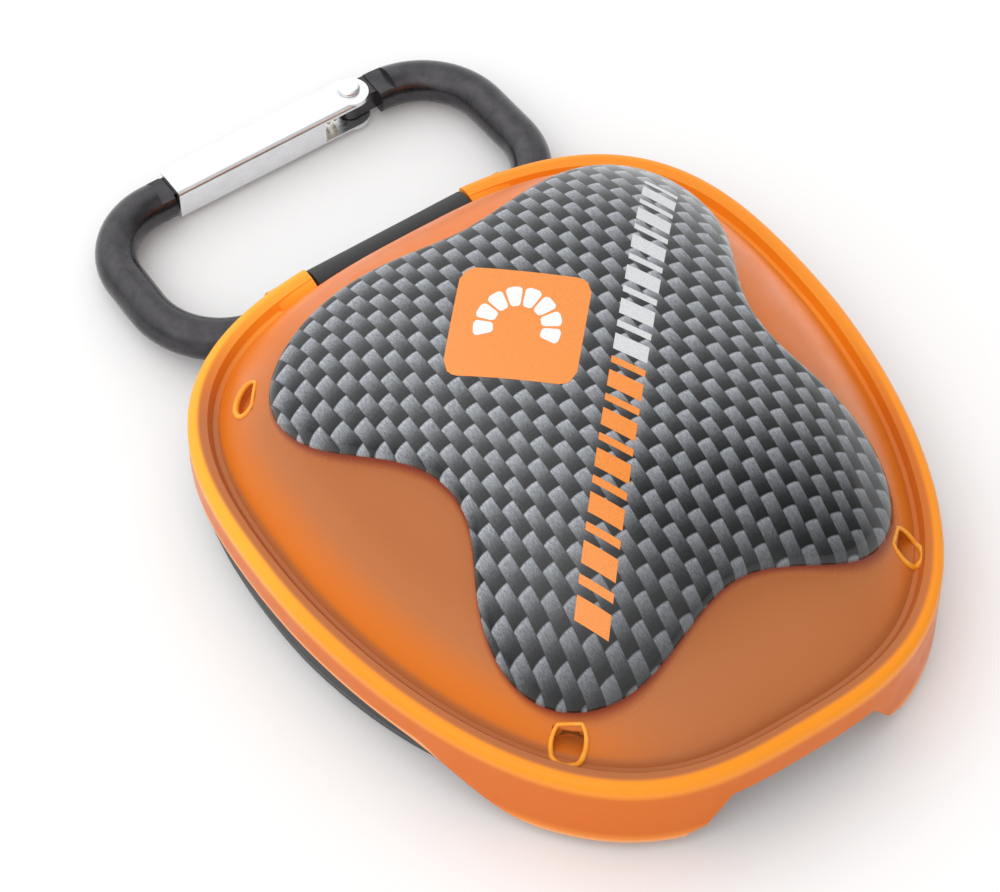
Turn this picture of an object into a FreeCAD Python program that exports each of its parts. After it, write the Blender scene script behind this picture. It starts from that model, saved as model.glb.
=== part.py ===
import FreeCAD, Part
import math
import os

# Mouthguard case: a deep bowl, a domed lid hinged at the rear, a raised cross-shaped badge on the lid,
# a carabiner through a lug under the hinge, and the mouthguard that lies inside.
# Millimetres, +Z up, -Y to the front (thumb notch), +Y to the rear (hinge).
# The origin is the middle of the flat underside of the bowl.

Vector = FreeCAD.Vector
doc = FreeCAD.newDocument("mouthguard_case")
sheet = doc.addObject("Spreadsheet::Sheet", "Sizes")

DIMENSIONS = {
    # plan outline of the case
    "half_width": 44.6, "widest_y": 8.4, "rear_reach": 41.1, "front_reach": 58.0,
    "side_curve": 3.0, "rear_curve": 3.0, "front_curve": 1.74,
    # bowl
    "bowl_top": 13.0, "bowl_wall": 2.0, "bowl_floor": 2.0, "bowl_rear": 42.0,
    # lid
    "rim_top": 15.0, "groove_floor": 14.0, "rim_crest": 2.4, "groove_inset": 3.1, "dome_inset": 3.7,
    "lid_wall": 1.8, "land_top": 13.2, "ledge_inset": 7.5, "ledge_top": 14.6,
    "dome_rise": 22.5, "dome_power": 3.2,
    "skirt_side": 8.6, "skirt_corner": 2.2, "skirt_rear": 11.0, "notch_top": 8.8, "rim_round": 1.3,
    "pocket_radius": 2.2, "pocket_flat": 1.6,
    # badge
    "seat_rise": 24.0, "seat_step": 0.3, "seat_scale": 0.985, "carrier_thick": 1.1, "film_thick": 0.4,
    # hinge
    "axis_y": 46.7, "axis_z": 12.2, "barrel_radius": 2.8, "barrel_gap": 0.4, "bowl_barrel": 25.0,
    "lid_barrel": 6.1, "side_gap": 0.4, "pin_radius": 1.0, "pin_clearance": 0.05, "pin_short": 0.3,
    "web_top": 12.8, "web_base": 8.2,
    # lug for the carabiner
    "spine_y": 48.7, "spine_z": 4.6, "lug_width": 6.0, "lug_bore": 3.4, "lug_radius": 5.0,
    # carabiner
    "rod_radius": 3.0, "gate_y": 78.3, "gate_drop": 1.1, "nose_end": -17.4, "hinge_end": 17.2,
    "gate_nose": -16.9, "rivet_x": 13.6, "rivet_offset": 0.6, "rivet_radius": 1.15, "rivet_head": 1.7,
    "rivet_dome": 0.65, "channel_half": 2.6, "channel_height": 5.4, "channel_wall": 0.8, "channel_bend": 0.75,
    "web_end": 7.6, "flat_start": -19.5, "flat_end": 19.8, "flat_half": 1.95, "flat_reach": 4.5,
    "tongue_height": 3.4, "tongue_reach": 5.0, "tongue_width": 3.7, "tongue_inner": 1.4,
    "tang_width": 3.6, "tang_inner": 1.2, "tang_radius": 1.9, "overlap": 0.5,
    "spring_radius": 1.3, "spring_wall": 0.45, "spring_start": -3.0, "spring_length": 14.0,
    # mouthguard
    "guard_width": 28.5, "guard_depth": 46.0, "guard_rear": 22.0, "guard_wall": 2.0, "guard_channel": 8.5,
    "guard_plate": 3.0, "guard_outer": 17.0, "guard_inner": 10.0, "liner_thick": 2.4, "guard_lift": 0.05,
}


def fill_sheet():
    for row, (name, value) in enumerate(DIMENSIONS.items(), 1):
        sheet.set(f"A{row}", name)
        sheet.set(f"B{row}", str(value))
        sheet.setAlias(f"B{row}", name)
    doc.recompute()


fill_sheet()
S = {name: float(sheet.get(name)) for name in DIMENSIONS}


# ---- document helpers -------------------------------------------------------------------------

def bound(kind, label, turn=None, **formulas):
    """A Part primitive whose sizes and position are formulas of the sheet's names."""
    item = doc.addObject(kind, label)
    if turn:
        item.Placement = FreeCAD.Placement(Vector(), FreeCAD.Rotation(*turn))
    for name, formula in formulas.items():
        path = "Placement.Base." + name if name in ("x", "y", "z") else name
        item.setExpression(path, formula)
    return item


def box(label, x, y, z, length, width, height):
    return bound("Part::Box", label, x=x, y=y, z=z, Length=length, Width=width, Height=height)


ALONG_X = (Vector(0, 1, 0), 90)
BEYOND = 60.0  # reaches past the whole case, for tools that cut right through it


def rod_x(label, start, y, z, radius, length):
    return bound("Part::Cylinder", label, ALONG_X, x=start, y=y, z=z, Radius=radius, Height=length)


def rod_z(label, x, y, z, radius, height):
    return bound("Part::Cylinder", label, x=x, y=y, z=z, Radius=radius, Height=height)


def sculpted(label, shape):
    item = doc.addObject("Part::Feature", label)
    item.Shape = shape
    return item


def fuse(label, *parts):
    item = doc.addObject("Part::MultiFuse", label)
    item.Shapes = list(parts)
    return item


def cut(label, base, *tools):
    item = doc.addObject("Part::Cut", label)
    item.Base = base
    item.Tool = tools[0] if len(tools) == 1 else fuse(label + "_tools", *tools)
    return item


# ---- plan outline and dome --------------------------------------------------------------------

def outline(inset, z, scale=1.0, count=48, front=None):
    """Closed smooth wire: a super-ellipse about the widest line, squarer at the rear, rounder in front.

    It lies in from the rim by inset, or in front by its own distance if one is given.
    """
    insets = {"rear_reach": inset, "front_reach": inset if front is None else front}
    points = []
    for step in range(count):
        angle = 2 * math.pi * step / count
        side, along = math.sin(angle), math.cos(angle)
        reach, curve = ("rear_reach", "rear_curve") if along > 0 else ("front_reach", "front_curve")
        x = math.copysign(abs(side) ** (2 / S["side_curve"]), side) * (S["half_width"] - inset) * scale
        y = math.copysign(abs(along) ** (2 / S[curve]), along) * (S[reach] - insets[reach]) * scale
        points.append(Vector(x, S["widest_y"] + y, z))
    spline = Part.BSplineCurve()
    spline.interpolate(Points=points, PeriodicFlag=True)
    return Part.Wire([spline.toShape()])


def prism(inset, bottom, top):
    return Part.Face(outline(inset, bottom)).extrude(Vector(0, 0, top - bottom))


DOME_STEPS = [1.03, 1.0, 0.96, 0.91, 0.85, 0.77, 0.67, 0.55, 0.42, 0.28, 0.12]


def dome(rise, inset, lift=0.0):
    """Solid dome on the outline: its height falls from the middle as a power of the distance to its foot."""
    sections = [outline(inset, S["groove_floor"] + lift + rise * (1 - step ** S["dome_power"]), step)
                for step in DOME_STEPS]
    return Part.makeLoft(sections, True, False)


# ---- bowl -------------------------------------------------------------------------------------

# Each section is how far it lies in from the rim at the sides and in front, and its height. Below the
# lid's skirt the sides stand out nearly flush with it, and the front draws in, out of the skirt's way.
BOWL_OUTSIDE = [(2.4, 2.4, S["bowl_top"]), (2.4, 2.8, 8.4), (1.0, 7.0, 7.4), (1.0, 8.0, 3.6),
                (1.5, 9.4, 1.2), (2.2, 10.4, 0.4), (3.4, 11.6, 0.0)]
BOWL_INSIDE = [(4.2, 4.2, S["bowl_top"] + 1.2), (4.4, 4.4, S["bowl_top"]), (4.4, 5.0, 10.6),
               (4.4, 9.4, 9.4), (3.4, 10.0, 6.0), (3.6, 11.0, 4.4), (6.0, 13.5, S["bowl_floor"])]


def bowl_solid(sections, rear):
    """Ruled loft of outlines, cut flat at the rear to make room for the hinge."""
    solid = Part.makeLoft([outline(side, z, front=front) for side, front, z in sections], True, True)
    return solid.cut(Part.makeBox(2 * BEYOND, BEYOND, BEYOND, Vector(-BEYOND, rear, -BEYOND / 2)))


bowl_outside = sculpted("bowl_outside", bowl_solid(BOWL_OUTSIDE, S["bowl_rear"]))
bowl_inside = sculpted("bowl_inside", bowl_solid(BOWL_INSIDE, S["bowl_rear"] - S["bowl_wall"]))
hinge_web = box("hinge_web", "-Sizes.bowl_barrel / 2", "Sizes.bowl_rear - 1", "Sizes.web_base",
                "Sizes.bowl_barrel", "Sizes.axis_y - Sizes.bowl_rear + 1", "Sizes.web_top - Sizes.web_base")
bowl_knuckle = rod_x("bowl_knuckle", "-Sizes.bowl_barrel / 2", "Sizes.axis_y", "Sizes.axis_z",
                     "Sizes.barrel_radius", "Sizes.bowl_barrel")
lug_round = rod_x("lug_round", "-Sizes.lug_width / 2", "Sizes.spine_y", "Sizes.spine_z",
                  "Sizes.lug_radius", "Sizes.lug_width")
lug_root = box("lug_root", "-Sizes.lug_width / 2", "Sizes.bowl_rear - 6", "0",
               "Sizes.lug_width", "Sizes.spine_y - Sizes.bowl_rear + 6", "Sizes.axis_z")
lug_below = box("lug_below", "-Sizes.lug_width", "Sizes.bowl_rear - 10", "-10",
                "2 * Sizes.lug_width", "40", "10")
lug_hole = rod_x("lug_hole", "-Sizes.lug_width", "Sizes.spine_y", "Sizes.spine_z",
                 "Sizes.lug_bore", "2 * Sizes.lug_width")
bowl_pin_hole = rod_x("bowl_pin_hole", "-Sizes.bowl_barrel", "Sizes.axis_y", "Sizes.axis_z",
                      "Sizes.pin_radius", "2 * Sizes.bowl_barrel")
bowl_body = fuse("bowl_body", bowl_outside, hinge_web, bowl_knuckle, lug_round, lug_root)
base_shell = cut("base_shell", bowl_body, bowl_inside, lug_below, lug_hole, bowl_pin_hole)

# ---- badge outline ----------------------------------------------------------------------------

# Right half of the cross-shaped badge, from the rear middle round to the front middle.
BADGE_HALF = [(0.0, 27.8), (11.0, 29.8), (23.5, 31.0), (31.8, 27.0), (33.4, 19.0), (28.8, 7.5),
              (24.2, -3.0), (24.6, -9.0), (28.6, -17.5), (29.0, -27.0), (25.0, -33.2), (18.5, -36.2),
              (9.0, -34.9), (0.0, -33.0)]


def badge_prism(scale=1.0):
    """Upright prism on the badge's outline, made smaller about its middle by scale."""
    middle_y = (BADGE_HALF[0][1] + BADGE_HALF[-1][1]) / 2
    left = [(-x, y) for x, y in reversed(BADGE_HALF[1:-1])]
    points = [Vector(x * scale, middle_y + (y - middle_y) * scale, S["groove_floor"])
              for x, y in BADGE_HALF + left]
    spline = Part.BSplineCurve()
    spline.interpolate(Points=points, PeriodicFlag=True)
    return Part.Face(Part.Wire([spline.toShape()])).extrude(Vector(0, 0, BEYOND))


# ---- lid --------------------------------------------------------------------------------------

# Lower edge of the skirt from front to rear: an S-shaped ramp up to the short sides, then up to the rear.
RAMP_FRONT = [(-37, S["skirt_corner"]), (-29, S["skirt_corner"]), (-26, S["skirt_side"]),
              (-16, S["skirt_side"])]
RAMP_REAR = [(30, S["skirt_side"]), (42, S["skirt_rear"])]
BELOW = -5.0

# The thumb notch in the front of the skirt, seen from the front: a flat top with sloping ends.
NOTCH = [(-18, BELOW), (-17, 2.7), (-14.6, 3.6), (-11.2, S["notch_top"]),
         (11.2, S["notch_top"]), (14.6, 3.6), (17, 2.7), (18, BELOW)]


def skirt_trim():
    """What is cut away under the skirt: it is short at the sides, shorter at the rear, deep at the front."""
    ramp = Part.BezierCurve()
    ramp.setPoles([Vector(-BEYOND, y, z) for y, z in RAMP_FRONT])
    under = [(BEYOND, S["skirt_rear"]), (BEYOND, BELOW), (RAMP_FRONT[0][0], BELOW)]
    path = [RAMP_FRONT[-1]] + RAMP_REAR + under + [RAMP_FRONT[0]]
    edges = [ramp.toShape()]
    edges += [Part.makeLine(Vector(-BEYOND, *a), Vector(-BEYOND, *b)) for a, b in zip(path, path[1:])]
    return Part.Face(Part.Wire(edges)).extrude(Vector(2 * BEYOND, 0, 0))


def thumb_notch():
    wire = Part.makePolygon([Vector(x, -BEYOND, z) for x, z in NOTCH + NOTCH[:1]])
    return Part.Face(wire).extrude(Vector(0, BEYOND / 2, 0))


def make_lid():
    rim, floor, wall = S["rim_top"], S["groove_floor"], S["lid_wall"]
    skirt = prism(0, S["skirt_corner"], rim)
    crest = [edge for edge in skirt.Edges if abs(edge.BoundBox.ZMin - rim) < 0.01 and edge.isClosed()]
    skirt = skirt.makeFillet(S["rim_round"], crest)
    groove = Part.makeLoft([outline(S["rim_crest"], rim + 0.1), outline(S["groove_inset"], floor)], True)
    seat = badge_prism(S["seat_scale"]).common(dome(S["seat_rise"], S["dome_inset"], S["seat_step"]))
    lid = skirt.cut(groove).fuse(dome(S["dome_rise"], S["dome_inset"])).fuse(seat)
    under_ledge = Part.makeBox(2 * BEYOND, 2 * BEYOND, BEYOND,
                               Vector(-BEYOND, -BEYOND, S["ledge_top"] - BEYOND))
    hollow = dome(S["dome_rise"] - wall, S["dome_inset"] + wall).cut(under_ledge)
    inside_ledge = prism(S["ledge_inset"], 0, S["ledge_top"] + S["overlap"])
    inside_skirt = prism(wall, BELOW, S["land_top"])
    return lid.cut(hollow).cut(inside_ledge).cut(inside_skirt).cut([skirt_trim(), thumb_notch()])


# Pockets: one small blind D-shaped pocket beyond each lobe, by the middle of its floor (x, y, z), its
# turn about the vertical and its lean outward. The front ones stand upright at the foot of the dome.
POCKETS = [(26.7, -34.7, 14.3, -50.0, 0.0), (32.4, 30.5, 19.3, 42.0, 50.0)]


def pocket_tools():
    """D-shaped cutters with the flat side towards the badge, mirrored to the left side."""
    radius, flat = S["pocket_radius"], S["pocket_flat"]
    tools = []
    for x, y, z, turn, lean in POCKETS:
        for side in (1, -1):
            half = Part.makeBox(flat, 2 * radius, BEYOND, Vector(-flat, -radius, 0))
            tool = Part.makeCylinder(radius, BEYOND).fuse(half).removeSplitter()
            tool.rotate(Vector(), Vector(0, 1, 0), lean)
            tool.rotate(Vector(), Vector(0, 0, 1), turn if side > 0 else 180 - turn)
            tool.translate(Vector(side * x, y, z))
            tools.append(tool)
    return Part.makeCompound(tools)


lid_body = sculpted("lid_body", make_lid())
pockets = sculpted("pockets", pocket_tools())
HALF_BARREL = "Sizes.bowl_barrel / 2"
lid_knuckles = [
    rod_x("lid_knuckle_right", HALF_BARREL + " + Sizes.side_gap", "Sizes.axis_y", "Sizes.axis_z",
          "Sizes.barrel_radius - 0.1", "Sizes.lid_barrel"),
    rod_x("lid_knuckle_left", "-(" + HALF_BARREL + ") - Sizes.side_gap - Sizes.lid_barrel", "Sizes.axis_y",
          "Sizes.axis_z", "Sizes.barrel_radius - 0.1", "Sizes.lid_barrel")]
barrel_room = rod_x("barrel_room", "-(" + HALF_BARREL + ") - Sizes.side_gap", "Sizes.axis_y", "Sizes.axis_z",
                    "Sizes.barrel_radius + Sizes.barrel_gap", "Sizes.bowl_barrel + 2 * Sizes.side_gap")
rear_room = box("rear_room", "-(" + HALF_BARREL + ") - Sizes.side_gap", "Sizes.axis_y", "Sizes.skirt_side",
                "Sizes.bowl_barrel + 2 * Sizes.side_gap", "10", "Sizes.rim_top")
lid_pin_hole = rod_x("lid_pin_hole", "-40", "Sizes.axis_y", "Sizes.axis_z",
                     "Sizes.pin_radius + Sizes.pin_clearance", "80")
lid_whole = fuse("lid_whole", lid_body, *lid_knuckles)
lid_shell = cut("lid_shell", lid_whole, barrel_room, rear_room, lid_pin_hole, pockets)

hinge_pin = rod_x("hinge_pin", "-(" + HALF_BARREL + ") - Sizes.side_gap - Sizes.lid_barrel + Sizes.pin_short",
                  "Sizes.axis_y", "Sizes.axis_z", "Sizes.pin_radius",
                  "Sizes.bowl_barrel + 2 * (Sizes.side_gap + Sizes.lid_barrel - Sizes.pin_short)")

# ---- badge ------------------------------------------------------------------------------------

def badge_layer(low, high):
    """The slice of the badge between two heights above its seat."""
    upper = dome(S["seat_rise"], S["dome_inset"], S["seat_step"] + high)
    lower = dome(S["seat_rise"], S["dome_inset"], S["seat_step"] + low)
    return badge_prism().common(upper).cut(lower)


badge_carrier = sculpted("badge_carrier", badge_layer(0.0, S["carrier_thick"]))
badge_film = sculpted("badge_film", badge_layer(S["carrier_thick"], S["carrier_thick"] + S["film_thick"]))

# ---- carabiner, drawn flat at z = 0 and then placed through the lug ------------------------------

# Corners of the ring's centre line, with the radius of each bend: narrow at the nose, wide at the hinge.
RING = [(S["nose_end"], S["gate_y"], 0), (-30.2, S["gate_y"], 10.0), (-30.6, 50.3, 12.5), (30.2, 47.1, 11.5),
        (29.0, S["gate_y"], 11.5), (S["hinge_end"], S["gate_y"], 0)]
SPINE = Vector(RING[2][0] - RING[3][0], RING[2][1] - RING[3][1], 0).normalize()


def ring_path():
    edges = []
    last = Vector(*RING[0][:2], 0)
    for before, here, after in zip(RING, RING[1:], RING[2:]):
        corner = Vector(*here[:2], 0)
        back = (Vector(*before[:2], 0) - corner).normalize()
        ahead = (Vector(*after[:2], 0) - corner).normalize()
        half = back.getAngle(ahead) / 2
        start = corner + back * (here[2] / math.tan(half))
        end = corner + ahead * (here[2] / math.tan(half))
        middle = corner + (back + ahead).normalize() * (here[2] / math.sin(half) - here[2])
        edges += [Part.makeLine(last, start), Part.Arc(start, middle, end).toShape()]
        last = end
    edges.append(Part.makeLine(last, Vector(*RING[-1][:2], 0)))
    return Part.Wire(edges)


def make_ring():
    path = ring_path()
    circle = Part.Circle(Vector(S["nose_end"], S["gate_y"], 0), Vector(1, 0, 0), S["rod_radius"])
    return path.makePipeShell([Part.Wire([circle.toShape()])], True, True)


def placed(item):
    """Stands the flat-drawn piece in the lug, tilted so that the gate side comes down to the table."""
    through = Vector(0, S["spine_y"], 0)
    reach = S["gate_y"] - S["spine_y"]
    tilt = math.degrees(math.asin(S["gate_drop"] / reach))
    stand = FreeCAD.Placement(Vector(0, 0, S["spine_z"]), FreeCAD.Rotation(SPINE, tilt), through)
    item.Placement = stand.multiply(item.Placement)
    return item


HALF_TONGUE = "-Sizes.tongue_height / 2"
ring = sculpted("ring", make_ring())
nose_tongue = box("nose_tongue", "Sizes.nose_end - Sizes.overlap", "Sizes.gate_y - Sizes.tongue_inner",
                  HALF_TONGUE, "Sizes.tongue_reach", "Sizes.tongue_width", "Sizes.tongue_height")
tang_neck = box("tang_neck", "Sizes.rivet_x", "Sizes.gate_y - Sizes.tang_inner", HALF_TONGUE,
                "Sizes.hinge_end - Sizes.rivet_x + Sizes.overlap", "Sizes.tang_width", "Sizes.tongue_height")
tang_eye = rod_z("tang_eye", "Sizes.rivet_x", "Sizes.gate_y + Sizes.rivet_offset", HALF_TONGUE,
                 "Sizes.tang_radius", "Sizes.tongue_height")
tang_hole = rod_z("tang_hole", "Sizes.rivet_x", "Sizes.gate_y + Sizes.rivet_offset", "-Sizes.channel_height",
                  "Sizes.rivet_radius", "2 * Sizes.channel_height")
ring_whole = fuse("ring_whole", ring, nose_tongue, tang_neck, tang_eye)
# The rod is pressed flat above and below where it meets the gate.
flat_above = box("flat_above", "Sizes.flat_start", "Sizes.gate_y - Sizes.flat_reach", "Sizes.flat_half",
                 "Sizes.flat_end - Sizes.flat_start", "2 * Sizes.flat_reach", "Sizes.rod_radius")
flat_below = box("flat_below", "Sizes.flat_start", "Sizes.gate_y - Sizes.flat_reach",
                 "-Sizes.flat_half - Sizes.rod_radius", "Sizes.flat_end - Sizes.flat_start",
                 "2 * Sizes.flat_reach", "Sizes.rod_radius")
carabiner_body = placed(cut("carabiner_body", ring_whole, tang_hole, flat_above, flat_below))

channel_block = box("channel_block", "Sizes.gate_nose", "Sizes.gate_y - Sizes.channel_half",
                    "-Sizes.channel_height / 2", "Sizes.rivet_x - Sizes.gate_nose",
                    "2 * Sizes.channel_half", "Sizes.channel_height")
doc.recompute()
channel_bent = doc.addObject("Part::Fillet", "channel_bent")
channel_bent.Base = channel_block
channel_bent.Edges = [(index, S["channel_bend"], S["channel_bend"])
                      for index, edge in enumerate(channel_block.Shape.Edges, 1)
                      if edge.BoundBox.YMax < S["gate_y"] and edge.BoundBox.XLength > S["channel_height"]]
channel_end = rod_z("channel_end", "Sizes.rivet_x", "Sizes.gate_y", "-Sizes.channel_height / 2",
                    "Sizes.channel_half", "Sizes.channel_height")
channel_inside = box("channel_inside", "Sizes.gate_nose - 1",
                     "Sizes.gate_y - Sizes.channel_half + Sizes.channel_wall",
                     "-Sizes.channel_height / 2 + Sizes.channel_wall", "50", "10",
                     "Sizes.channel_height - 2 * Sizes.channel_wall")
web_gap = box("web_gap", "Sizes.web_end", "Sizes.gate_y - 5",
              "-Sizes.channel_height / 2 + Sizes.channel_wall", "20", "10",
              "Sizes.channel_height - 2 * Sizes.channel_wall")
cheek_hole = rod_z("cheek_hole", "Sizes.rivet_x", "Sizes.gate_y + Sizes.rivet_offset",
                   "-Sizes.channel_height", "Sizes.rivet_radius + Sizes.pin_clearance",
                   "2 * Sizes.channel_height")
channel_whole = fuse("channel_whole", channel_bent, channel_end)
carabiner_gate = placed(cut("carabiner_gate", channel_whole, channel_inside, web_gap, cheek_hole))


def make_rivet():
    """Shank with a low domed head on each side of the gate."""
    half = S["channel_height"] / 2 + S["pin_clearance"]
    middle = Vector(S["rivet_x"], S["gate_y"] + S["rivet_offset"], 0)
    solid = Part.makeCylinder(S["rivet_radius"], 2 * half + 0.2, middle - Vector(0, 0, half + 0.1))
    for side in (1, -1):
        head = Part.makeCylinder(S["rivet_head"], S["rivet_dome"], middle + Vector(0, 0, side * half),
                                 Vector(0, 0, side))
        crown = [edge for edge in head.Edges if abs(abs(edge.CenterOfMass.z) - half - S["rivet_dome"]) < 0.01]
        solid = solid.fuse(head.makeFillet(S["rivet_dome"] * 0.8, crown[:1]))
    return solid.removeSplitter()


gate_rivet = placed(sculpted("gate_rivet", make_rivet()))

spring_outer = rod_x("spring_outer", "Sizes.spring_start", "Sizes.gate_y + 0.2", "0",
                     "Sizes.spring_radius", "Sizes.spring_length")
spring_inner = rod_x("spring_inner", "Sizes.spring_start - 1", "Sizes.gate_y + 0.2", "0",
                     "Sizes.spring_radius - Sizes.spring_wall", "Sizes.spring_length + 2")
gate_spring = placed(cut("gate_spring", spring_outer, spring_inner))

# ---- mouthguard -------------------------------------------------------------------------------

def arch(outer, inner, bottom, top):
    """U-shaped band that follows the teeth, between two distances in from the outer face."""
    def half_ellipse(inset):
        ellipse = Part.Ellipse(Vector(), S["guard_depth"] - inset, S["guard_width"] - inset)
        edge = ellipse.toShape(math.pi / 2, 3 * math.pi / 2)
        edge.rotate(Vector(), Vector(0, 0, 1), 90)
        return edge
    far, near = half_ellipse(outer), half_ellipse(inner)
    ends = [Part.makeLine(Vector(side * (S["guard_width"] - outer), 0, 0),
                          Vector(side * (S["guard_width"] - inner), 0, 0)) for side in (1, -1)]
    band = Part.Face(Part.Wire(Part.__sortEdges__([far, near] + ends))).extrude(Vector(0, 0, top - bottom))
    base = S["bowl_floor"] + S["guard_lift"]
    band.translate(Vector(0, S["guard_rear"], base + bottom))
    return band


def make_guard():
    wall, channel, plate = S["guard_wall"], S["guard_channel"], S["guard_plate"]
    inner = wall + channel
    shell = arch(0, inner + wall, 0, plate)
    shell = shell.fuse([arch(0, wall, 0, S["guard_outer"]), arch(inner, inner + wall, 0, S["guard_inner"])])
    liner = arch(wall, inner, plate, plate + S["liner_thick"])
    return shell.removeSplitter(), liner


shell_shape, liner_shape = make_guard()
guard_shell = sculpted("guard_shell", shell_shape)
guard_liner = sculpted("guard_liner", liner_shape)

# ---- check and write --------------------------------------------------------------------------

NODES = [base_shell, lid_shell, badge_carrier, badge_film, hinge_pin, carabiner_body, carabiner_gate,
         gate_rivet, gate_spring, guard_shell, guard_liner]

doc.recompute()
for item in doc.Objects:
    if "Invalid" in item.State or "Error" in item.State:
        raise RuntimeError(f"{item.Label} failed to build: {item.State}")
os.makedirs("parts", exist_ok=True)
for item in NODES:
    shape = item.Shape
    if shape.isNull() or not shape.isValid() or not shape.Solids:
        raise RuntimeError(f"{item.Label} has no sound solid")
    size = shape.BoundBox
    print(f"{item.Label:16} volume {shape.Volume:9.1f} "
          f"size {size.XLength:6.1f} {size.YLength:6.1f} {size.ZLength:6.1f}")
    shape.exportStep(f"parts/{item.Label}.step")
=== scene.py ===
"""Looks of the mouthguard case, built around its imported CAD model. Metres, +Z up, -Y to the front."""
import math

import bmesh
import bpy
import numpy as np
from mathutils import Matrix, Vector


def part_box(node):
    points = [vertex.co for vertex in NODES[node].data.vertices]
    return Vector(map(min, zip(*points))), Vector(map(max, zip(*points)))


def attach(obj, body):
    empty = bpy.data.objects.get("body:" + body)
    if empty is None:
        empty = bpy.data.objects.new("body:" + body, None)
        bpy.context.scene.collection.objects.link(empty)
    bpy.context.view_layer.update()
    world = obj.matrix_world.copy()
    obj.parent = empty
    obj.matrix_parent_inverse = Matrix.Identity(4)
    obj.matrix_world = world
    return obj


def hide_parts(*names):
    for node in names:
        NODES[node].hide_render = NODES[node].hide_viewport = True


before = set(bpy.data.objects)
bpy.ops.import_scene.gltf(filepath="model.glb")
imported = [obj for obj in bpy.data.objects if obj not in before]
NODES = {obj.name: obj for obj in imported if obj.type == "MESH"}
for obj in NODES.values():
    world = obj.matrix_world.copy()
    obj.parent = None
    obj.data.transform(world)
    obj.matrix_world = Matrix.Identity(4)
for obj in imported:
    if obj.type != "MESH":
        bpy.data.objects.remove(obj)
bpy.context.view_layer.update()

MM = 0.001

# ---- the case's shape, as the CAD model has it, in millimetres ---------------------------------

HALF_WIDTH, WIDEST_Y, REAR_REACH, FRONT_REACH = 44.6, 8.4, 41.1, 58.0
SIDE_CURVE, REAR_CURVE, FRONT_CURVE = 3.0, 3.0, 1.74
GROOVE_FLOOR, DOME_INSET, DOME_POWER, LID_RISE, BADGE_RISE = 14.0, 3.7, 3.2, 22.5, 24.0
BADGE_STEP, BADGE_THICK = 0.3, 1.5
BADGE_CENTRE = np.array([0.0, -2.6])


def dome_share(x, y):
    """How far out a plan point lies: 0 in the middle of the dome and 1 at its foot."""
    side = np.abs(x) / (HALF_WIDTH - DOME_INSET)
    rear = y > WIDEST_Y
    along = np.abs(y - WIDEST_Y) / np.where(rear, REAR_REACH - DOME_INSET, FRONT_REACH - DOME_INSET)
    curve = np.where(rear, REAR_CURVE, FRONT_CURVE)
    share = np.maximum(side, along) + 1e-6
    for _ in range(40):
        share = share * ((side / share) ** SIDE_CURVE + (along / share) ** curve) ** 0.4
    return share


def dome_height(x, y, rise=LID_RISE, lift=0.0):
    return GROOVE_FLOOR + lift + rise * (1 - dome_share(x, y) ** DOME_POWER)


def badge_top(x, y):
    return dome_height(x, y, BADGE_RISE, BADGE_STEP + BADGE_THICK)


# ---- mesh helpers ------------------------------------------------------------------------------

def make_mesh(name, points, faces, material, smooth=True, crease=38.0):
    """A mesh from points in millimetres of the row frame, with its faces turned outward."""
    mesh = bpy.data.meshes.new(name)
    mesh.from_pydata([tuple(float(c) * MM for c in p) for p in points], [], faces)
    mesh.validate()
    shape = bmesh.new()
    shape.from_mesh(mesh)
    bmesh.ops.recalc_face_normals(shape, faces=shape.faces)
    shape.to_mesh(mesh)
    shape.free()
    mesh.polygons.foreach_set("use_smooth", [smooth] * len(mesh.polygons))
    if smooth:
        mesh.set_sharp_from_angle(angle=math.radians(crease))
    mesh.materials.append(material)
    item = bpy.data.objects.new(name, mesh)
    bpy.context.scene.collection.objects.link(item)
    return item


def ring_faces(rows, count, closed=True, wrap=False):
    """Quads between successive rows of points, each row of the same count."""
    faces = []
    for row in range(rows if wrap else rows - 1):
        near, far = row * count, (row + 1) % rows * count
        for i in range(count if closed else count - 1):
            j = (i + 1) % count
            faces.append((near + i, near + j, far + j, far + i))
    return faces


def tube(name, path, radius, material, up, closed=False, sides=10):
    """A round wire along a path of points, with flat ends if it isn't closed."""
    path = np.asarray(path, float)
    if closed:
        along = np.roll(path, -1, 0) - np.roll(path, 1, 0)
    else:
        along = np.gradient(path, axis=0)
    along /= np.linalg.norm(along, axis=1)[:, None]
    side = np.cross(along, up)
    side /= np.linalg.norm(side, axis=1)[:, None]
    over = np.cross(side, along)
    turn = np.linspace(0, 2 * math.pi, sides, endpoint=False)
    thick = np.broadcast_to(np.asarray(radius, float), (len(path),))[:, None, None]
    rings = path[:, None] + thick * (side[:, None] * np.cos(turn)[None, :, None]
                                     + over[:, None] * np.sin(turn)[None, :, None])
    faces = ring_faces(len(path), sides, wrap=closed)
    if not closed:
        last = (len(path) - 1) * sides
        faces += [tuple(reversed(range(sides))), tuple(range(last, last + sides))]
    return make_mesh(name, rings.reshape(-1, 3), faces, material)


# ---- material helpers --------------------------------------------------------------------------

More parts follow.
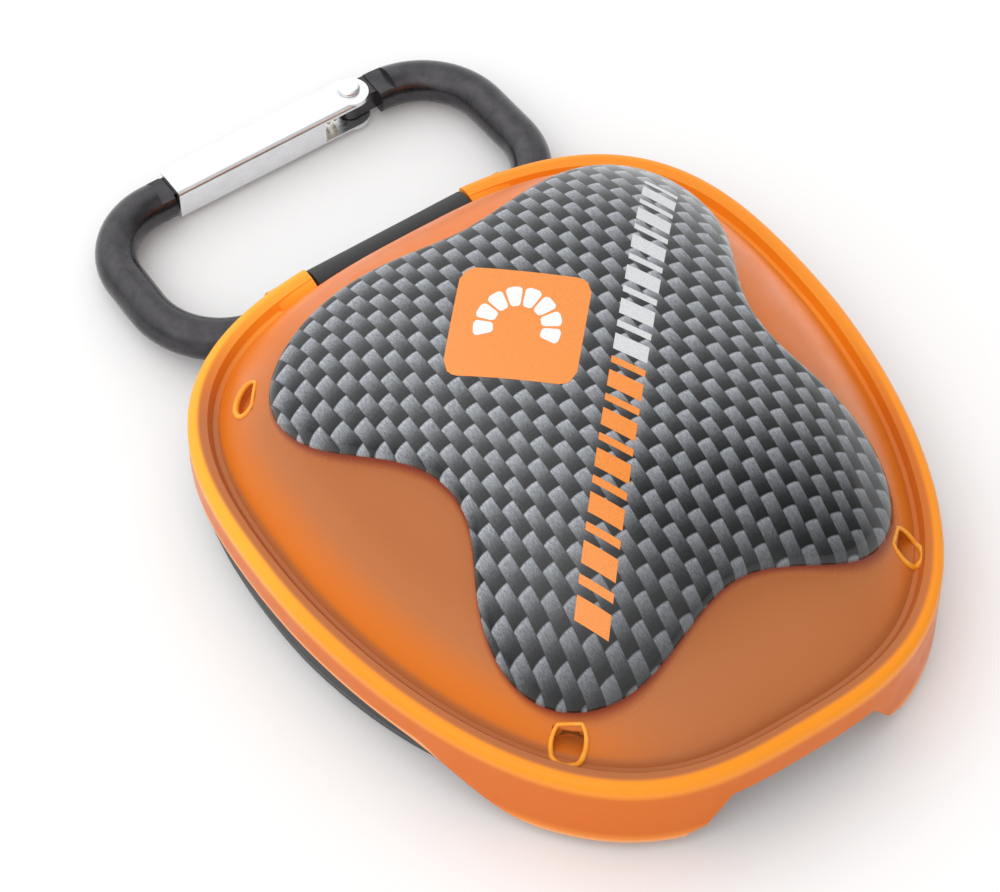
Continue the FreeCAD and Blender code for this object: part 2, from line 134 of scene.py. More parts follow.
class Recipe:
    """Builds one node material. Texture lengths are in millimetres of the row frame."""

    def __init__(self, name, **constants):
        self.material = bpy.data.materials.new(name)
        self.material.use_nodes = True
        self.tree = self.material.node_tree
        self.shader = self.tree.nodes["Principled BSDF"]
        for key, value in constants.items():
            self.shader.inputs[key.replace("_", " ")].default_value = value
        place = self.tree.nodes.new("ShaderNodeTexCoord")
        scale = self.tree.nodes.new("ShaderNodeVectorMath")
        scale.operation = "SCALE"
        scale.inputs["Scale"].default_value = 1 / MM
        self.tree.links.new(place.outputs["Object"], scale.inputs[0])
        self.place = scale.outputs[0]

    def put(self, value, socket):
        if isinstance(value, bpy.types.NodeSocket):
            self.tree.links.new(value, socket)
        else:
            socket.default_value = value

    def math(self, operation, a, b=0.0):
        node = self.tree.nodes.new("ShaderNodeMath")
        node.operation = operation
        for value, socket in zip((a, b), node.inputs):
            self.put(value, socket)
        return node.outputs[0]

    def split(self):
        node = self.tree.nodes.new("ShaderNodeSeparateXYZ")
        self.put(self.place, node.inputs[0])
        return node.outputs[0], node.outputs[1], node.outputs[2]

    def stretch(self, x, y, z):
        node = self.tree.nodes.new("ShaderNodeVectorMath")
        node.operation = "MULTIPLY"
        self.put(self.place, node.inputs[0])
        node.inputs[1].default_value = (x, y, z)
        return node.outputs[0]

    def noise(self, per_mm, detail=2.0, roughness=0.5, vector=None):
        node = self.tree.nodes.new("ShaderNodeTexNoise")
        self.put(vector or self.place, node.inputs["Vector"])
        node.inputs["Scale"].default_value = per_mm
        node.inputs["Detail"].default_value = detail
        node.inputs["Roughness"].default_value = roughness
        return node.outputs["Fac"]

    def ramp(self, value, stops):
        """Grey levels by place along the value."""
        node = self.tree.nodes.new("ShaderNodeValToRGB")
        self.put(value, node.inputs[0])
        elements = node.color_ramp.elements
        while len(elements) < len(stops):
            elements.new(0.5)
        for element, (at, grey) in zip(elements, stops):
            element.position = at
            element.color = (grey, grey, grey, 1.0)
        return node.outputs[0]

    def span(self, value, low, high, to_low=0.0, to_high=1.0):
        node = self.tree.nodes.new("ShaderNodeMapRange")
        node.interpolation_type = "SMOOTHSTEP"
        for item, socket in zip((value, low, high, to_low, to_high), node.inputs):
            self.put(item, socket)
        return node.outputs[0]

    def mix(self, share, a, b, mode="MIX"):
        node = self.tree.nodes.new("ShaderNodeMix")
        node.data_type = "RGBA"
        node.blend_type = mode
        self.put(share, node.inputs["Factor"])
        for value, socket in ((a, node.inputs["A"]), (b, node.inputs["B"])):
            socket = [s for s in node.inputs if s.name == socket.name and s.type == "RGBA"][0]
            self.put((*value, 1.0) if isinstance(value, tuple) and len(value) == 3 else value, socket)
        return [s for s in node.outputs if s.type == "RGBA"][0]

    def bump(self, height, depth_mm, strength):
        node = self.tree.nodes.new("ShaderNodeBump")
        node.inputs["Distance"].default_value = depth_mm * MM
        node.inputs["Strength"].default_value = strength
        self.put(height, node.inputs["Height"])
        return node.outputs[0]

    def set(self, **links):
        for key, value in links.items():
            self.put(value, self.shader.inputs[key.replace("_", " ")])
        return self


def rim_inset(recipe):
    """The plan distance inward from the case's outer edge in millimetres, and the height."""
    x, y, z = recipe.split()
    dy = recipe.math("SUBTRACT", y, WIDEST_Y)
    rear = recipe.math("GREATER_THAN", dy, 0.0)
    reach = recipe.math("ADD", FRONT_REACH, recipe.math("MULTIPLY", rear, REAR_REACH - FRONT_REACH))
    curve = recipe.math("ADD", FRONT_CURVE, recipe.math("MULTIPLY", rear, REAR_CURVE - FRONT_CURVE))
    terms, slopes = [], []
    for place, length, power in ((x, HALF_WIDTH, SIDE_CURVE), (dy, reach, curve)):
        share = recipe.math("DIVIDE", recipe.math("ABSOLUTE", place), length)
        terms.append(recipe.math("POWER", share, power))
        less = recipe.math("POWER", share, recipe.math("SUBTRACT", power, 1.0))
        slopes.append(recipe.math("DIVIDE", recipe.math("MULTIPLY", less, power), length))
    steep = recipe.math("SQRT", recipe.math("ADD", recipe.math("POWER", slopes[0], 2.0),
                                            recipe.math("POWER", slopes[1], 2.0)))
    short = recipe.math("SUBTRACT", 1.0, recipe.math("ADD", terms[0], terms[1]))
    return recipe.math("DIVIDE", short, recipe.math("MAXIMUM", steep, 0.01)), z


# ---- materials ---------------------------------------------------------------------------------

PANE_BROWN, PANE_ORANGE = (0.47, 0.155, 0.050), (0.88, 0.21, 0.020)
# The rim's inner band colour is painted shade.
LEDGE, RIM_PAINTED_SHADE = (0.66, 0.16, 0.010), (0.45, 0.145, 0.045)
# The seat colour is a painted shadow beside the badge.
PANE_DEEP, SEAT_PAINTED_SHADOW = (0.30, 0.075, 0.012), (0.21, 0.022, 0.003)
CREST_INNER, SKIRT_END, SKIRT_SIDE = 1.4, 2.2, 8.6
# The crest's colour is a painted highlight, turning to a painted glow toward the rear.
CREST_HIGHLIGHT, CREST_REAR_GLOW = (0.90, 0.29, 0.014), (0.95, 0.40, 0.028)
# Low on the skirt it is paler with painted light, and its bottom edge has a pale painted glow.
SKIRT, SKIRT_LOW_LIT, SKIRT_EDGE_GLOW = (0.67, 0.142, 0.004), (0.86, 0.27, 0.03), (0.86, 0.36, 0.14)


def lid_colour(r):
    """Colour of the translucent lid by place: a painted highlight on the rim's crest that turns to a painted
    glow toward the rear, painted shade on the rim's inner band in front, browner on the lower panes, which
    brighten toward the rear as painted light, and a paler painted light and glow low on the skirt.
    """
    inset, z = rim_inset(r)
    x, y, _ = r.split()
    cloud = r.noise(0.07, 3.0)
    place = r.math("ADD", r.math("MULTIPLY", x, 0.7), r.math("MULTIPLY", y, 0.9))
    # The panes brighten toward the rear as painted light.
    rear_lit = r.span(r.math("ADD", place, r.math("MULTIPLY", cloud, 14.0)), -2.0, 34.0)
    pane = r.mix(rear_lit, PANE_BROWN, PANE_ORANGE)
    pane = r.mix(r.span(inset, 9.0, 19.0, 0.0, 0.3), pane, PANE_DEEP)
    beside = r.span(r.math("ABSOLUTE", x), 12.0, 32.0, 0.1, 1.0)
    ledge = r.mix(r.math("MULTIPLY", r.span(inset, 12.0, 5.2), beside), pane, LEDGE)
    # Painted shade on the rim's inner band, in front only.
    ahead = r.math("MULTIPLY", r.span(rear_lit, 1.0, 0.2), r.span(x, 38.0, 10.0, 0.25, 1.0))
    shade = r.mix(r.math("MULTIPLY", r.span(inset, 5.2, 4.4), ahead), ledge, RIM_PAINTED_SHADE)
    # Painted highlight on the rim's crest and a painted glow toward the rear, where it spreads inward over
    # the inner band as painted light.
    glow = r.span(r.math("SUBTRACT", y, r.math("MULTIPLY", x, 0.9)), 25.0, 60.0)
    crest_highlight = r.mix(glow, CREST_HIGHLIGHT, CREST_REAR_GLOW)
    lit = r.math("MULTIPLY", r.span(inset, 5.4, 4.6), r.span(place, 8.0, 34.0, 0.0, 0.8))
    shade = r.mix(lit, shade, crest_highlight)
    top = r.mix(r.span(inset, CREST_INNER + 0.5, CREST_INNER - 0.3), shade, crest_highlight)
    # The skirt takes the crest's painted highlight at its shoulder and a paler painted light low down.
    skirt = r.mix(r.span(z, 13.6, 12.0), crest_highlight, r.mix(r.span(z, 4.5, 2.4), SKIRT, SKIRT_LOW_LIT))
    colour = r.mix(r.math("MULTIPLY", r.span(z, 13.9, 13.3), r.span(inset, 3.2, 2.6)), top, skirt)
    # A pale painted glow along the skirt's bottom edge.
    low = r.math("ADD", SKIRT_END, r.math("MULTIPLY", r.span(y, -31.0, -19.0), SKIRT_SIDE - SKIRT_END))
    colour = r.mix(r.span(r.math("SUBTRACT", z, low), 0.75, 0.35), colour, SKIRT_EDGE_GLOW)
    return colour


def frosted_orange():
    """Translucent orange moulding."""
    r = Recipe("frosted_orange", IOR=1.46, Specular_IOR_Level=0.25)
    r.set(Base_Color=lid_colour(r),
          Normal=r.bump(r.noise(0.22, 1.0), 0.05, 0.4),
          Roughness=r.span(r.noise(0.25, 1.0), 0.3, 0.7, 0.28, 0.38))
    return r.material


def seat_orange():
    """The lid's plastic on the badge's seat: dark red painted shadow beside the badge, turning into the lid's
    colour.
    """
    r = Recipe("seat_orange", IOR=1.46, Specular_IOR_Level=0.25)
    edge = r.tree.nodes.new("ShaderNodeAttribute")
    edge.attribute_name = "outward"
    # Dark red painted shadow at the badge's edge, fading outward into the lid's colour.
    r.set(Base_Color=r.mix(r.span(edge.outputs["Fac"], 0.25, 1.0), SEAT_PAINTED_SHADOW, lid_colour(r)),
          Roughness=r.span(r.noise(0.6, 4.0), 0.3, 0.75, 0.2, 0.34),
          Normal=r.bump(r.noise(3.0, 2.0), 0.006, 0.4))
    return r.material


def orange_trim(name, deep, pale, rough=0.3):
    """The same plastic in small raised details, where its colour is deeper and brighter as a painted glow."""
    r = Recipe(name, IOR=1.46, Subsurface_Weight=0.1, Subsurface_Scale=0.001)
    r.set(Base_Color=r.mix(r.span(r.noise(0.5, 2.0), 0.3, 0.7), deep, pale),
          Roughness=r.span(r.noise(2.0, 3.0), 0.3, 0.7, rough - 0.05, rough + 0.08),
          Normal=r.bump(r.noise(6.0, 2.0), 0.008, 0.5))
    return r.material


def black_moulding(name, tone=0.014, rough=0.46):
    r = Recipe(name, IOR=1.48)
    cloud = r.noise(0.12, 2.0)
    colour = r.mix(cloud, (tone, tone * 1.02, tone * 1.1), (tone * 1.5, tone * 1.55, tone * 1.7))
    spark = r.noise(5.0, 3.0, 0.7)
    r.set(Base_Color=colour, Roughness=r.span(spark, 0.3, 0.8, rough - 0.07, rough + 0.1),
          Normal=r.bump(spark, 0.03, 0.7))
    return r.material


TOW_WIDTH, TOW_PERIOD = 1.92, 4.5
# Painted shade: the print darkens toward the front, from y -8 to -44 mm.
FRONT_PAINTED_SHADE = (-44.0, -8.0, 0.36, 1.0)


def carbon_print():
    """Printed carbon look: columns of tows, each fading from light to dark along its length, with painted
    shade darkening the front.
    """
    r = Recipe("carbon_print", Roughness=0.16, IOR=1.42, Coat_Weight=0.08, Coat_Roughness=0.05)
    x, y, _ = r.split()
    wander = r.math("MULTIPLY", r.math("SUBTRACT", r.noise(0.05, 1.0), 0.5), 2.0)
    column = r.math("DIVIDE", r.math("ADD", x, wander), TOW_WIDTH)
    across = r.math("FRACT", column)
    odd = r.math("MULTIPLY", r.math("FLOORED_MODULO", r.math("FLOOR", column), 2.0), 0.5)
    arch = r.math("MULTIPLY", r.math("POWER", r.math("ABSOLUTE", r.math("SUBTRACT", across, 0.5)), 2.0), 0.10)
    along = r.math("FRACT", r.math("ADD", r.math("DIVIDE", y, TOW_PERIOD), r.math("ADD", odd, arch)))
    fibre = r.noise(1.0, 3.0, 0.75, r.stretch(9.0, 1.6, 1.6))
    fleck = r.noise(7.0, 2.0, 0.7)
    tone = r.ramp(along, [(0.0, 0.007), (0.05, 0.009), (0.25, 0.026), (0.45, 0.075), (0.62, 0.16),
                          (0.85, 0.27), (0.955, 0.38), (1.0, 0.09)])
    speck = r.math("MULTIPLY", r.span(fibre, 0.3, 0.7, 0.62, 1.38), r.span(fleck, 0.3, 0.7, 0.75, 1.25))
    seam = r.math("MULTIPLY", r.span(across, 0.0, 0.09, 0.55, 1.0), r.span(across, 1.0, 0.91, 0.55, 1.0))
    value = r.math("MULTIPLY", tone, r.math("MULTIPLY", speck, seam))
    # Painted shade toward the front.
    value = r.math("MULTIPLY", value, r.span(y, *FRONT_PAINTED_SHADE))
    tint = r.mix(1.0, value, (0.93, 0.98, 1.06), "MULTIPLY")
    r.set(Base_Color=tint, Normal=r.bump(r.noise(0.2, 2.0), 0.03, 0.35),
          Roughness=r.span(fleck, 0.3, 0.7, 0.13, 0.2))
    return r.material


def print_ink(name, colour, rough=0.2):
    r = Recipe(name, IOR=1.5, Coat_Weight=0.4, Coat_Roughness=0.08)
    fleck = r.noise(4.0, 3.0, 0.6)
    shade = tuple(c * 0.86 for c in colour)
    r.set(Base_Color=r.mix(r.span(fleck, 0.35, 0.7), shade, colour),
          Roughness=r.span(fleck, 0.3, 0.7, rough - 0.04, rough + 0.06))
    return r.material


def black_anodised():
    r = Recipe("black_anodised", Metallic=0.8, IOR=1.5, Coat_Weight=0.2, Coat_Roughness=0.2)
    cloud = r.noise(0.5, 4.0, 0.6)
    scuff = r.noise(1.0, 3.0, 0.7, r.stretch(0.6, 3.0, 3.0))
    r.set(Base_Color=r.mix(r.span(cloud, 0.3, 0.7), (0.040, 0.038, 0.042), (0.060, 0.057, 0.062)),
          Roughness=r.span(scuff, 0.3, 0.75, 0.2, 0.34), Normal=r.bump(r.noise(3.0, 3.0), 0.012, 0.5))
    return r.material


def rolled_metal(name, colour, rough, stretch=(0.15, 6.0, 6.0)):
    """Metal sheet or wire with fine lines along it."""
    r = Recipe(name, Metallic=1.0)
    lines = r.noise(1.0, 3.0, 0.7, r.stretch(*stretch))
    cloud = r.noise(0.4, 3.0)
    worn = tuple(c * 0.93 for c in colour)
    r.set(Base_Color=r.mix(r.span(cloud, 0.3, 0.7), worn, colour),
          Roughness=r.span(lines, 0.3, 0.7, rough - 0.05, rough + 0.07), Normal=r.bump(lines, 0.004, 0.35))
    return r.material


def soft_rubber(name, dark, light, rough):
    r = Recipe(name, IOR=1.45, Subsurface_Weight=0.1, Subsurface_Scale=0.002)
    grain = r.noise(2.2, 3.0, 0.6)
    r.set(Base_Color=r.mix(r.span(r.noise(0.2, 2.0), 0.3, 0.7), dark, light),
          Roughness=r.span(grain, 0.3, 0.75, rough - 0.06, rough + 0.1), Normal=r.bump(grain, 0.02, 0.5))
    return r.material


ORANGE_INK = (0.86, 0.25, 0.018)
WHITE_INK = (0.86, 0.86, 0.85)
SILVER_INK = (0.62, 0.63, 0.64)

MATERIALS = {
    "lid": frosted_orange(),
    "seat": seat_orange(),
    # The pocket rims' bright orange is a painted glow.
    "glow": orange_trim("glowing_orange", (0.86, 0.30, 0.012), (0.92, 0.38, 0.03)),
    "bowl": black_moulding("matt_black"),
    "carrier": black_moulding("badge_black", 0.010, 0.3),
    "film": carbon_print(),
    "orange": print_ink("orange_ink", ORANGE_INK),
    "white": print_ink("white_ink", WHITE_INK),
    "silver": print_ink("silver_ink", SILVER_INK),
    "anodised": black_anodised(),
    "bright": rolled_metal("bright_aluminium", (0.82, 0.83, 0.85), 0.3),
    "steel": rolled_metal("steel_pin", (0.58, 0.58, 0.60), 0.3),
    "brass": rolled_metal("brass_wire", (0.76, 0.60, 0.36), 0.3, (3.0, 3.0, 3.0)),
    "rubber": soft_rubber("guard_black", (0.012, 0.012, 0.014), (0.022, 0.022, 0.025), 0.42),
    "gel": soft_rubber("guard_orange", (0.75, 0.20, 0.02), (0.88, 0.29, 0.04), 0.3),
}


def paint(node, material):
    mesh = NODES[node].data
    mesh.materials.clear()
    mesh.materials.append(MATERIALS[material])


for node, material in (("lid_shell", "lid"), ("base_shell", "bowl"), ("badge_carrier", "carrier"),
                       ("badge_film", "film"), ("hinge_pin", "steel"), ("carabiner_body", "anodised"),
                       ("carabiner_gate", "bright"), ("gate_rivet", "bright"), ("gate_spring", "brass"),
                       ("guard_shell", "rubber"), ("guard_liner", "gel")):
    paint(node, material)


# ---- badge skin and print ----------------------------------------------------------------------

def wall_outline(node, centre, count):
    """Plan outline of an upright-walled node as points evenly spread in angle about a centre."""
    mesh = NODES[node].data
    corners = set()
    for face in mesh.polygons:
        if abs(face.normal.z) < 0.2:
            corners.update(face.vertices)
    plan = np.array([mesh.vertices[i].co[:2] for i in corners]) / MM - centre
    angles = np.arctan2(plan[:, 1], plan[:, 0])
    order = np.argsort(angles)
    even = np.linspace(-math.pi, math.pi, count, endpoint=False)
    radius = np.interp(even, angles[order], np.hypot(*plan.T)[order], period=2 * math.pi)
    kernel = np.array([1.0, 2.0, 3.0, 2.0, 1.0]) / 9
    radius = np.convolve(np.concatenate([radius[-2:], radius, radius[:2]]), kernel, "valid")
    return centre + radius[:, None] * np.stack([np.cos(even), np.sin(even)], 1)


def inset_outline(outline, distance):
    ahead = np.roll(outline, -1, 0) - np.roll(outline, 1, 0)
    ahead /= np.linalg.norm(ahead, axis=1)[:, None]
    inward = np.stack([-ahead[:, 1], ahead[:, 0]], 1)
    return outline + inward * distance


EDGE_ROLL, EDGE_DROP = 1.3, 1.15
SEAT_NARROW, SEAT_WIDE, SEAT_SIDES = 0.6, 1.9, 12


def crowned_rows(edge, height, steps):
    """Rows of points closing in from an edge to the badge's middle over a height field."""
    rows = []
    for step in steps:
        plan = BADGE_CENTRE + (edge - BADGE_CENTRE) * step
        rows.append(np.column_stack([plan, height(*plan.T)]))
    return rows


def make_badge_skin(outline):
    """The film and its carrier as one crowned skin whose edge rolls down to the lid."""
    def face(x, y):
        return badge_top(x, y) - 0.02

    def back(x, y):
        return badge_top(x, y) - BADGE_THICK

    foot = inset_outline(outline, 0.05)
    rows = crowned_rows(foot, back, np.linspace(0.02, 1.0, 30))
    for turn in np.linspace(0, math.pi / 2, 9):
        plan = inset_outline(outline, EDGE_ROLL * (1 - math.cos(turn)))
        rows.append(np.column_stack([plan, face(*plan.T) - EDGE_DROP * (1 - math.sin(turn))]))
    rows += crowned_rows(rows[-1][:, :2], face, np.linspace(0.975, 0.02, 44))
    count = len(outline)
    faces = ring_faces(len(rows), count)
    middle = BADGE_CENTRE[:, None]
    ends = [[*BADGE_CENTRE, float(back(*middle)[0])], [*BADGE_CENTRE, float(face(*middle)[0])]]
    points = np.vstack(rows + [ends])
    last, low = (len(rows) - 1) * count, len(rows) * count
    for i in range(count):
        j = (i + 1) % count
        faces += [(j, i, low), (last + i, last + j, low + 1)]
    return make_mesh("badge_skin", points, faces, MATERIALS["film"])


def make_badge_seat(outline):
    """The raised seat round the badge: a fillet from its edge to the dome, widest at the waist's rear,
    following the painted shadow under the badge's edge.
    """
    ahead = np.roll(outline, -1, 0) - np.roll(outline, 1, 0)
    facing = np.clip(ahead[:, 0] / np.linalg.norm(ahead, axis=1), 0, 1)
    outside = np.clip(np.abs(outline[:, 0]) / 9 - 1.2, 0, 1)
    # The seat widens where the painted shadow under the badge's edge is wide.
    wide = SEAT_NARROW + (SEAT_WIDE - SEAT_NARROW) * facing ** 2 * outside
    wide = np.convolve(np.concatenate([wide[-7:], wide, wide[:7]]), np.ones(15) / 15, "valid")[:, None]
    rows = []
    for turn in np.linspace(0, math.pi / 2, SEAT_SIDES):
        plan = inset_outline(outline, 0.25 - wide * (1 - math.cos(turn)))
        base = np.maximum(dome_height(*plan.T), GROOVE_FLOOR) + 0.03
        top = badge_top(*plan.T) - EDGE_DROP - 0.1
        rows.append(np.column_stack([plan, base + (np.maximum(top, base) - base) * (1 - math.sin(turn))]))
    for row in (rows[-1], rows[0]):
        sunk = np.minimum(dome_height(*row[:, :2].T) - 0.4, row[:, 2] - 0.4)
        rows.append(np.column_stack([row[:, :2], sunk]))
    faces = ring_faces(len(rows), len(outline), wrap=True)
    seat = make_mesh("badge_seat", np.vstack(rows), faces, MATERIALS["seat"])
    outward = np.repeat(np.concatenate([np.linspace(0, 1, SEAT_SIDES), [1, 0]]), len(outline))
    field = seat.data.attributes.new("outward", "FLOAT", "POINT")
    field.data.foreach_set("value", outward.astype(np.float32))
    return seat


def turned(points, degrees, shift=(0.0, 0.0)):
    c, s = math.cos(math.radians(degrees)), math.sin(math.radians(degrees))
    points = np.asarray(points, float)
    x, y = points.T
    return np.column_stack([x * c - y * s, x * s + y * c]) + shift


def print_on_badge(name, rows, material, lift=0.03):
    """A thin closed layer laid on the badge: rows is a grid of plan points."""
    grid = np.asarray(rows)
    height, width = grid.shape[:2]
    flat = grid.reshape(-1, 2)
    z = badge_top(*flat.T)
    points = np.vstack([np.column_stack([flat, z + lift]), np.column_stack([flat, z - 0.05])])
    low = height * width
    faces = []
    for i in range(height - 1):
        for j in range(width - 1):
            a, d = i * width + j, (i + 1) * width + j
            b, c = a + 1, d + 1
            faces += [(a, b, c, d), (d + low, c + low, b + low, a + low)]
    edge = ([(0, j) for j in range(width)] + [(i, width - 1) for i in range(1, height)]
            + [(height - 1, j) for j in range(width - 2, -1, -1)]
            + [(i, 0) for i in range(height - 2, 0, -1)])
    loop = [i * width + j for i, j in edge]
    faces += [(b, a, a + low, b + low) for a, b in zip(loop, loop[1:] + loop[:1])]
    return make_mesh(name, points, faces, material, smooth=False)


def rounded_square(half, corner, rows):
    """Grid of plan points filling a square with rounded corners."""
    grid = []
    for v in np.linspace(-1, 1, rows):
        reach = half
        over = abs(v) * half - (half - corner)
        if over > 0:
            reach = half - corner + math.sqrt(max(corner ** 2 - over ** 2, 0.0))
        grid.append([(u * reach, v * half) for u in np.linspace(-1, 1, rows)])
    return np.array(grid)


PRINT_TURN = 47.0


def make_emblem():
    """Plain orange rounded panel with a row of eight teeth along an arch."""
    centre = np.array([-4.9, 8.7])
    grid = rounded_square(8.6, 2.2, 26)
    panel = turned(grid.reshape(-1, 2), PRINT_TURN, centre).reshape(grid.shape)
    pieces = [print_on_badge("emblem_panel", panel, MATERIALS["orange"], 0.03)]
    teeth = 8
    for index in range(teeth):
        place = (index + 0.5) / teeth * 2 - 1
        front = 1 - abs(place)
        block = rounded_square(1.0, 0.45, 13)
        angle = math.pi / 2 - place * 1.95 + block[..., 0] * 0.205
        reach = 4.4 + block[..., 1] * (1.25 + 0.2 * front)
        arch = np.stack([reach * np.cos(angle), reach * np.sin(angle) * 1.12 - 0.5], -1)
        arch = turned(arch.reshape(-1, 2), PRINT_TURN - 90, centre).reshape(block.shape)
        pieces.append(print_on_badge(f"emblem_tooth_{index + 1}", arch, MATERIALS["white"], 0.05))
    return pieces


def make_stripe():
    """A row of slanted bars across the badge, orange in front and silver behind."""
    start, end = np.array([-19.5, -29.0]), np.array([29.0, 23.6])
    ahead = (end - start) / np.linalg.norm(end - start)
    side = np.array([-ahead[1], ahead[0]])
    length = np.linalg.norm(end - start)
    pieces = []
    at, index = 0.0, 0
    while at < length - 2.4:
        wide = 2.5 if index % 2 == 0 else 1.0
        rows = []
        for v in np.linspace(-2.3, 2.3, 10):
            row = [start + ahead * (at + u * wide + v * 0.35) + side * v for u in np.linspace(0, 1, 5)]
            rows.append(row)
        part = "front" if at < length * 0.46 else "rear"
        ink = MATERIALS["orange" if part == "front" else "silver"]
        pieces.append(print_on_badge(f"stripe_{part}_{index + 1}", rows, ink, 0.03))
        at += wide + 1.15
        index += 1
    return pieces


outline = wall_outline("badge_film", BADGE_CENTRE, 420)
badge = make_badge_skin(outline)
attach(badge, "lid")
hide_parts("badge_film", "badge_carrier")
for piece in make_emblem() + make_stripe():
    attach(piece, "lid")


# ---- raised details of the lid -----------------------------------------------------------------

POCKETS = ((26.7, -34.7, -50.0, 0.0), (33.0, 31.0, 42.0, 50.0))
POCKET_RADIUS, POCKET_FLAT = 2.25, 1.65


def make_pocket_rims():
    """A raised lip round each D-shaped pocket, thicker on its outer side, bright with a painted glow."""
    rims = []
    bow = math.acos(-POCKET_FLAT / POCKET_RADIUS)
    turn = np.linspace(-bow, bow, 34)
    shape = np.column_stack([np.cos(turn), np.sin(turn)]) * POCKET_RADIUS
    flat = np.linspace(shape[-1], shape[0], 9)[1:-1]
    shape = np.vstack([shape, flat])
    thick = 0.33 + 0.12 * np.clip(shape[:, 0] / POCKET_RADIUS, -0.4, 1)
    for end, (x, y, degrees, lean) in zip(("front", "rear"), POCKETS):
        leaning = shape * (math.cos(math.radians(lean)), 1.0)
        for side, hand in ((1, "right"), (-1, "left")):
            plan = turned(leaning, degrees if side > 0 else 180 - degrees, (side * x, y))
            height = np.maximum(dome_height(*plan.T), GROOVE_FLOOR) + 0.02
            rims.append(tube(f"pocket_rim_{end}_{hand}", np.column_stack([plan, height]), thick,
                             MATERIALS["glow"], (0, 0, 1), closed=True))
    return rims


for piece in [make_badge_seat(outline)] + make_pocket_rims():
    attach(piece, "lid")


# ---- spring in the gate ------------------------------------------------------------------------

def make_spring():
    low, high = (np.array(corner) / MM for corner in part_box("gate_spring"))
    wire = 0.26
    middle = (low + high) / 2
    coil = (high[2] - low[2]) / 2 - wire
    turn = np.linspace(0, 12 * 2 * math.pi, 12 * 20)
    length = np.linspace(low[0] + wire, high[0] - wire, len(turn))
    path = np.column_stack([length, middle[1] + coil * np.cos(turn), middle[2] + coil * np.sin(turn)])
    return tube("spring_coil", path, wire, MATERIALS["brass"], (1, 0, 0), sides=8)


spring = make_spring()
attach(spring, "gate")
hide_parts("gate_spring")


# ---- mouthguard --------------------------------------------------------------------------------

ARCH_CENTRE_Y, ARCH_HALF_WIDTH, ARCH_REACH = 22.0, 28.5, 46.0
ARCH_STEPS = 160


def swept_arch(name, section, material):
    """Sweeps a closed section of (depth inward, height) points round the arch, drawn in at both ends."""
    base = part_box("guard_shell")[0][2] / MM
    rows = []
    for turn in np.linspace(0, math.pi, ARCH_STEPS):
        near_end = min(turn, math.pi - turn)
        shape = np.array(section(turn), float)
        ease = math.sqrt(max(0.0, 1 - (1 - min(near_end / 0.09, 1.0)) ** 2))
        middle = (shape.min(0) + shape.max(0)) / 2
        shape = middle + (shape - middle) * (0.25 + 0.75 * ease)
        deep, high = shape.T
        rows.append(np.column_stack([(ARCH_HALF_WIDTH - deep) * math.cos(turn),
                                     ARCH_CENTRE_Y - (ARCH_REACH - deep) * math.sin(turn), base + high]))
    count = len(rows[0])
    last = (len(rows) - 1) * count
    faces = ring_faces(len(rows), count) + [tuple(reversed(range(count))), tuple(range(last, last + count))]
    return make_mesh(name, np.vstack(rows), faces, material, crease=55.0)


def arc(centre, radius, start, end, count=5):
    turn = np.radians(np.linspace(start, end, count))
    return [(centre[0] + radius * math.cos(t), centre[1] + radius * math.sin(t)) for t in turn]


def guard_section(turn):
    """U-shaped section: tall outer wall with a notch at the front, channel for the teeth, low inner wall."""
    front = abs(turn - math.pi / 2)
    high = 16.9 - 3.6 * (front / (math.pi / 2)) ** 2 - 3.4 * math.exp(-(front / 0.055) ** 2)
    high += 0.25 * math.sin(turn * 22) * (front > 0.15)
    low = 9.8 - 1.6 * (front / (math.pi / 2)) ** 2
    return (arc((1.2, 1.2), 1.2, 270, 180) + arc((1.15, high - 1.0), 0.95, 180, 0)
            + arc((3.2, 4.2), 1.1, 180, 270) + arc((9.3, 4.2), 1.1, 270, 360)
            + arc((11.4, low - 0.9), 0.9, 180, 0) + arc((11.3, 1.2), 1.2, 360, 270))


def gel_section(turn):
    """Gel pad in the channel, pressed in under each tooth."""
    tooth = abs(math.sin(turn * 7.0))
    top = 5.35 - 1.0 * tooth ** 0.6
    inner = 5.35
    return ([(2.35, 3.3), (2.35, inner - 0.3)] + arc((2.85, inner - 0.5), 0.5, 160, 60, 3)
            + [(4.6, top + 0.25), (6.2, top), (7.8, top + 0.25)]
            + arc((9.6, inner - 0.5), 0.5, 120, 20, 3) + [(10.1, inner - 0.3), (10.1, 3.3)])


guard = swept_arch("guard_outer", guard_section, MATERIALS["rubber"])
gel = swept_arch("guard_gel", gel_section, MATERIALS["gel"])
for piece, node, slot in ((guard, "guard_shell", "guard_rubber"), (gel, "guard_liner", "guard_gel")):
    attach(piece, "mouthguard")
    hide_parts(node)


# ---- stage -------------------------------------------------------------------------------------

KEY_FROM, KEY_STRENGTH, KEY_SPREAD = (-0.45, -0.1, 0.9), 0.35, 70
FLOOR_HALF = 3000
WORLD_BASE = 0.36
WORLD_LOBES = (((0.37, 0.86, 0.35), 0.10, 1.0, 0.95), ((-0.55, 0.35, 0.76), 0.45, 1.0, 0.75),
               ((-0.45, -0.78, 0.44), 0.35, 1.0, 0.85))


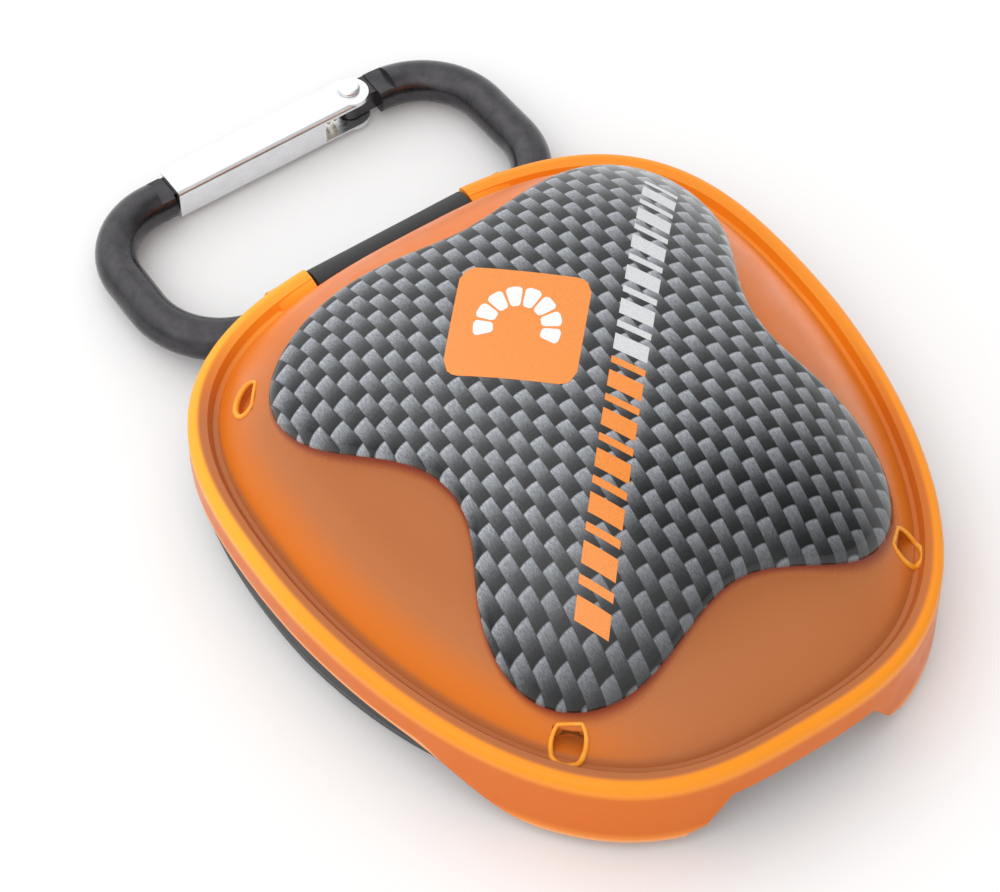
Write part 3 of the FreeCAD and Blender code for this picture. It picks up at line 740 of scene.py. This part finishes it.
def make_world():
    """A soft white surround, brighter behind on the right, high on the left and low in front."""
    world = bpy.data.worlds.new("studio")
    world.use_nodes = True
    tree = world.node_tree
    place = tree.nodes.new("ShaderNodeTexCoord")
    total = WORLD_BASE
    for toward, begin, end, strength in WORLD_LOBES:
        dot = tree.nodes.new("ShaderNodeVectorMath")
        dot.operation = "DOT_PRODUCT"
        dot.inputs[1].default_value = Vector(toward).normalized()
        tree.links.new(place.outputs["Generated"], dot.inputs[0])
        level = tree.nodes.new("ShaderNodeMapRange")
        level.interpolation_type = "SMOOTHSTEP"
        tree.links.new(dot.outputs["Value"], level.inputs[0])
        for socket, value in zip(list(level.inputs)[1:5], (begin, end, 0.0, strength)):
            socket.default_value = value
        add = tree.nodes.new("ShaderNodeMath")
        tree.links.new(level.outputs[0], add.inputs[0])
        if isinstance(total, float):
            add.inputs[1].default_value = total
        else:
            tree.links.new(total, add.inputs[1])
        total = add.outputs[0]
    background = tree.nodes["Background"]
    background.inputs["Color"].default_value = (1.0, 1.0, 1.0, 1.0)
    tree.links.new(total, background.inputs["Strength"])
    bpy.context.scene.world = world


def make_stage():
    """Pale floor and soft light."""
    r = Recipe("pale_floor", Roughness=0.9)
    r.set(Base_Color=r.mix(r.noise(0.004, 2.0), (0.86, 0.86, 0.86), (0.89, 0.89, 0.89)))
    corners = [(x * FLOOR_HALF, y * FLOOR_HALF, 0) for x, y in ((-1, -1), (1, -1), (1, 1), (-1, 1))]
    floor = make_mesh("floor", corners, [(0, 1, 2, 3)], r.material, smooth=False)
    make_world()
    light = bpy.data.lights.new("key", "SUN")
    light.energy = KEY_STRENGTH
    light.angle = math.radians(KEY_SPREAD)
    lamp = bpy.data.objects.new("key", light)
    lamp.rotation_euler = Vector(KEY_FROM).to_track_quat("Z", "Y").to_euler()
    bpy.context.scene.collection.objects.link(lamp)
    bpy.context.scene.view_settings.view_transform = "Standard"


LENS, SENSOR = 149.3, 36.0
CAMERA_DISTANCE, CAMERA_AZIMUTH, CAMERA_ELEVATION = 0.54926, -35.81, 54.12
CAMERA_CENTRE, CAMERA_AIM = (0, 0.0034, 0.015), (-0.00756, 0.00885, 0.015)


def make_camera():
    """Long-lens view from the front left, looking down at about 54 degrees."""
    azimuth, elevation = math.radians(CAMERA_AZIMUTH), math.radians(CAMERA_ELEVATION)
    back = Vector((math.sin(azimuth) * math.cos(elevation), -math.cos(azimuth) * math.cos(elevation),
                   math.sin(elevation)))
    camera = bpy.data.objects.new("camera", bpy.data.cameras.new("camera"))
    camera.data.lens = LENS
    camera.data.sensor_width = SENSOR
    camera.location = Vector(CAMERA_CENTRE) + back * CAMERA_DISTANCE
    camera.rotation_euler = (Vector(CAMERA_AIM) - camera.location).to_track_quat("-Z", "Y").to_euler()
    bpy.context.scene.collection.objects.link(camera)
    bpy.context.scene.camera = camera


make_stage()
make_camera()
